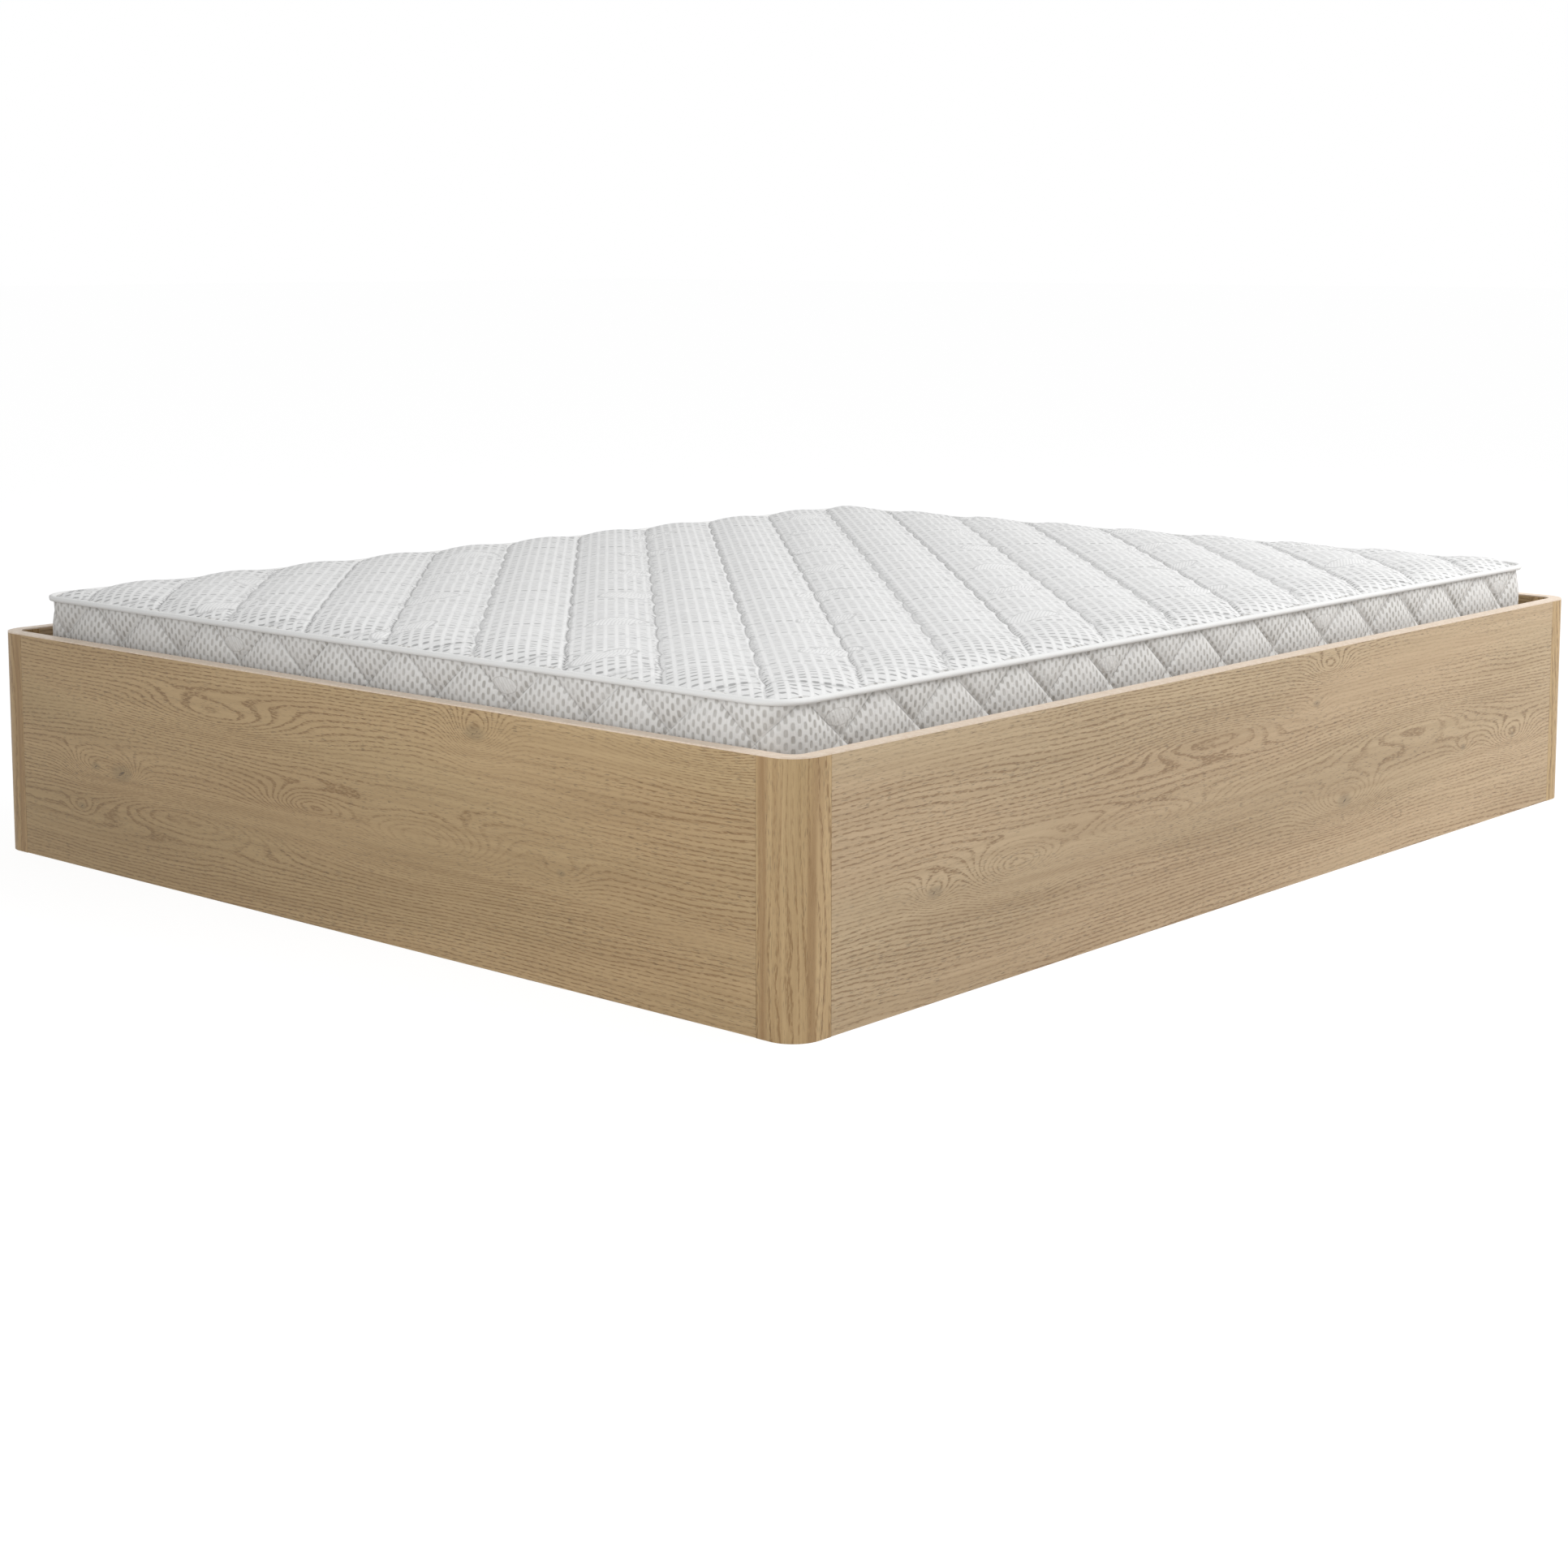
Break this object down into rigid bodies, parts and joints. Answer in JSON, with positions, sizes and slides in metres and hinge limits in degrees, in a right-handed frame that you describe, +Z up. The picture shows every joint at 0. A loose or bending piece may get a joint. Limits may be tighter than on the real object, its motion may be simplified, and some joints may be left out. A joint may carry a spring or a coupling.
{
  "type": "storage bed",
  "caption": "Low double storage bed: box to the floor with rounded corner posts, quilted mattress on a lift-up slatted frame with side links and gas springs.",
  "frame": {"origin": "on the floor, under the middle of the bed", "axes": "+Z up, +Y towards the head end, +X to the bed's right-hand side seen from the foot"},
  "size_m": [1.72, 2.084, 0.4293],
  "materials": {
    "oak_panel": "light oak foil, satin",
    "oak_post": "light oak foil, satin",
    "edge_band": "satin",
    "zinc_fitting": "zinc plated",
    "beech_dowel": "raw",
    "floor_board": "matt melamine",
    "softwood": "planed, raw",
    "felt": "felt",
    "black_plastic": "matt",
    "lift_steel": "black powder coat",
    "frame_steel": "grey powder coat",
    "spring_tube": "gloss black",
    "spring_rod": "polished",
    "slat_beech": "lacquered",
    "mattress_knit": "quilted knit",
    "mattress_base": "non-woven",
    "mattress_foam": "foam",
    "piping_white": "smooth",
    "strap_webbing": "woven webbing"
  },
  "bodies": {
    "bed_box": {"foot_panel": "oak_panel", "head_panel": "oak_panel", "left_side_panel": "oak_panel", "right_side_panel": "oak_panel", "corner_post_foot_left": "oak_post", "corner_post_foot_right": "oak_post", "corner_post_head_left": "oak_post", "corner_post_head_right": "oak_post", "end_panel_edge_bands": "edge_band", "side_panel_edge_bands": "edge_band", "corner_post_edge_bands": "edge_band", "cam_lock_discs": "zinc_fitting", "cam_lock_bolts": "zinc_fitting", "cleat_screws": "zinc_fitting", "ledge_screws": "zinc_fitting", "base_plate_screws": "zinc_fitting", "base_pivot_pins": "zinc_fitting", "corner_dowels": "beech_dowel", "floor_boards": "floor_board", "side_floor_cleats": "softwood", "end_floor_cleats": "softwood", "floor_bearers": "softwood", "frame_ledge_left": "softwood", "frame_ledge_right": "softwood", "frame_ledge_foot": "softwood", "ledge_pads": "felt", "bearer_glides": "black_plastic", "lift_base_plate_left": "lift_steel", "lift_base_plate_right": "lift_steel"},
    "rear_links": {"rear_link_left": "lift_steel", "rear_link_right": "lift_steel"},
    "front_links": {"front_link_left": "lift_steel", "front_link_right": "lift_steel", "front_link_pins": "zinc_fitting"},
    "gas_spring_cylinders": {"gas_spring_cylinder_left": "spring_tube", "gas_spring_cylinder_right": "spring_tube"},
    "gas_spring_rods": {"gas_spring_rod_left": "spring_rod", "gas_spring_rod_right": "spring_rod", "gas_spring_rod_ends": "zinc_fitting"},
    "lift_frame": {"frame_rail_left": "frame_steel", "frame_rail_right": "frame_steel", "frame_rail_head": "frame_steel", "frame_rail_foot": "frame_steel", "frame_rail_centre": "frame_steel", "rail_end_plugs": "black_plastic", "slats": "slat_beech", "slat_side_holders": "black_plastic", "slat_centre_holders": "black_plastic", "frame_bracket_left": "lift_steel", "frame_bracket_right": "lift_steel", "bracket_pivot_pins": "zinc_fitting", "mattress_quilted_top": "mattress_knit", "mattress_border": "mattress_knit", "mattress_base_cover": "mattress_base", "mattress_core": "mattress_foam", "mattress_piping": "piping_white", "mattress_stop": "frame_steel", "lift_strap": "strap_webbing", "lift_strap_plate": "zinc_fitting"}
  },
  "joints": [
    {"name": "rear_link_hinge", "type": "hinge", "parent": "bed_box", "child": "rear_links", "pos_m": [0, 0.722, 0.1281], "axis": [1, 0, 0], "range_deg": [0, 40.32]},
    {"name": "bed_lift", "type": "hinge", "parent": "rear_links", "child": "lift_frame", "pos_m": [0, 0.8414, 0.2183], "axis": [-1, 0, 0], "range_deg": [0, 78.17]},
    {"name": "front_link_hinge", "type": "hinge", "parent": "bed_box", "child": "front_links", "pos_m": [0, 0.4633, 0.1425], "axis": [1, 0, 0], "range_deg": [0, 30.04]},
    {"name": "gas_spring_swing", "type": "hinge", "parent": "bed_box", "child": "gas_spring_cylinders", "pos_m": [0, 0.87, 0.076], "axis": [-1, 0, 0], "range_deg": [0, 7.78]},
    {"name": "gas_spring_stroke", "type": "slide", "parent": "gas_spring_cylinders", "child": "gas_spring_rods", "axis": [0, -0.9391, 0.3436], "range_m": [0, 0.05731]}
  ],
  "couplings": [
    {"joint": "rear_link_hinge", "follows": "bed_lift", "ratio": 0.51552},
    {"joint": "front_link_hinge", "follows": "bed_lift", "ratio": 0.38397},
    {"joint": "gas_spring_swing", "follows": "bed_lift", "ratio": 0.099255},
    {"joint": "gas_spring_stroke", "follows": "bed_lift", "m_per_rad": 0.041933}
  ]
}
